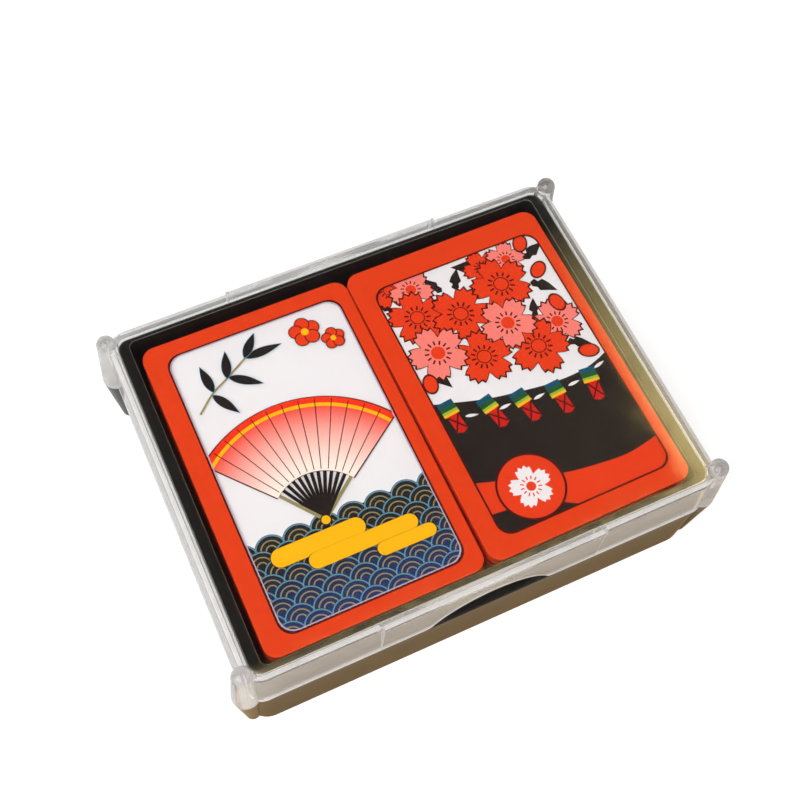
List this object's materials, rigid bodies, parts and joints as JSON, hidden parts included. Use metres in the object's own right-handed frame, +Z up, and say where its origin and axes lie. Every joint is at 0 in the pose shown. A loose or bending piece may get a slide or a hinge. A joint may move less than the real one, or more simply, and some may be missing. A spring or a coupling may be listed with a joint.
{
  "type": "hanafuda card deck in a case",
  "caption": "Two stacks of small plastic flower cards side by side in a black tray, under a clear lift-off lid with thumb notches and ball-topped corner posts.",
  "frame": {"origin": "middle of the tray's underside, on the surface that the case stands on", "axes": "+X along the long side to the right, +Y to the back, +Z up"},
  "size_m": [0.0832, 0.0618, 0.0255],
  "materials": {
    "tray_black": "glossy black moulded polystyrene",
    "lid_clear": "clear moulded polystyrene",
    "card_red": "orange-red plastic card with a glossy printed face"
  },
  "bodies": {
    "tray": {"tray": "tray_black"},
    "left_lower_pack": {"card_pine_bright": "card_red", "card_pine_ribbon": "card_red", "card_pine_plain_1": "card_red", "card_pine_plain_2": "card_red", "card_plum_bird": "card_red", "card_plum_ribbon": "card_red", "card_plum_plain_1": "card_red", "card_plum_plain_2": "card_red", "card_wisteria_bird": "card_red", "card_wisteria_ribbon": "card_red", "card_wisteria_plain_1": "card_red", "card_wisteria_plain_2": "card_red"},
    "left_upper_pack": {"card_iris_bridge": "card_red", "card_iris_ribbon": "card_red", "card_iris_plain_1": "card_red", "card_iris_plain_2": "card_red", "card_peony_butterfly": "card_red", "card_peony_ribbon": "card_red", "card_peony_plain_1": "card_red", "card_peony_plain_2": "card_red", "card_clover_boar": "card_red", "card_clover_ribbon": "card_red", "card_clover_plain_1": "card_red", "card_clover_plain_2": "card_red"},
    "left_top_card": {"card_title": "card_red"},
    "right_lower_pack": {"card_pampas_bright": "card_red", "card_pampas_geese": "card_red", "card_pampas_plain_1": "card_red", "card_pampas_plain_2": "card_red", "card_mum_cup": "card_red", "card_mum_ribbon": "card_red", "card_mum_plain_1": "card_red", "card_mum_plain_2": "card_red", "card_maple_deer": "card_red", "card_maple_ribbon": "card_red", "card_maple_plain_1": "card_red", "card_maple_plain_2": "card_red"},
    "right_upper_pack": {"card_paulownia_bright": "card_red", "card_paulownia_plain_1": "card_red", "card_paulownia_plain_2": "card_red", "card_paulownia_plain_3": "card_red", "card_willow_bright": "card_red", "card_willow_swallow": "card_red", "card_willow_ribbon": "card_red", "card_willow_plain": "card_red", "card_spare": "card_red", "card_cherry_ribbon": "card_red", "card_cherry_plain_1": "card_red", "card_cherry_plain_2": "card_red"},
    "right_top_card": {"card_cherry_bright": "card_red"},
    "lid": {"lid": "lid_clear"}
  },
  "joints": [
    {"name": "left_pack_lift", "type": "slide", "parent": "tray", "child": "left_lower_pack", "axis": [0, 0, 1], "range_m": [0, 0.034]},
    {"name": "left_pack_cut", "type": "slide", "parent": "left_lower_pack", "child": "left_upper_pack", "axis": [0, 0, 1], "range_m": [0, 0.016]},
    {"name": "left_card_draw", "type": "slide", "parent": "left_upper_pack", "child": "left_top_card", "axis": [0, 0, 1], "range_m": [0, 0.014]},
    {"name": "lid_lift", "type": "slide", "parent": "left_top_card", "child": "lid", "axis": [0, 0, 1], "range_m": [0, 0.045]},
    {"name": "right_pack_lift", "type": "slide", "parent": "tray", "child": "right_lower_pack", "axis": [0, 0, 1], "range_m": [0, 0.034]},
    {"name": "right_pack_cut", "type": "slide", "parent": "right_lower_pack", "child": "right_upper_pack", "axis": [0, 0, 1], "range_m": [0, 0.016]},
    {"name": "right_card_draw", "type": "slide", "parent": "right_upper_pack", "child": "right_top_card", "axis": [0, 0, 1], "range_m": [0, 0.014]}
  ],
  "couplings": [
    {"joint": "right_pack_lift", "follows": "left_pack_lift", "ratio": 1},
    {"joint": "right_pack_cut", "follows": "left_pack_cut", "ratio": 1},
    {"joint": "right_card_draw", "follows": "left_card_draw", "ratio": 1}
  ]
}
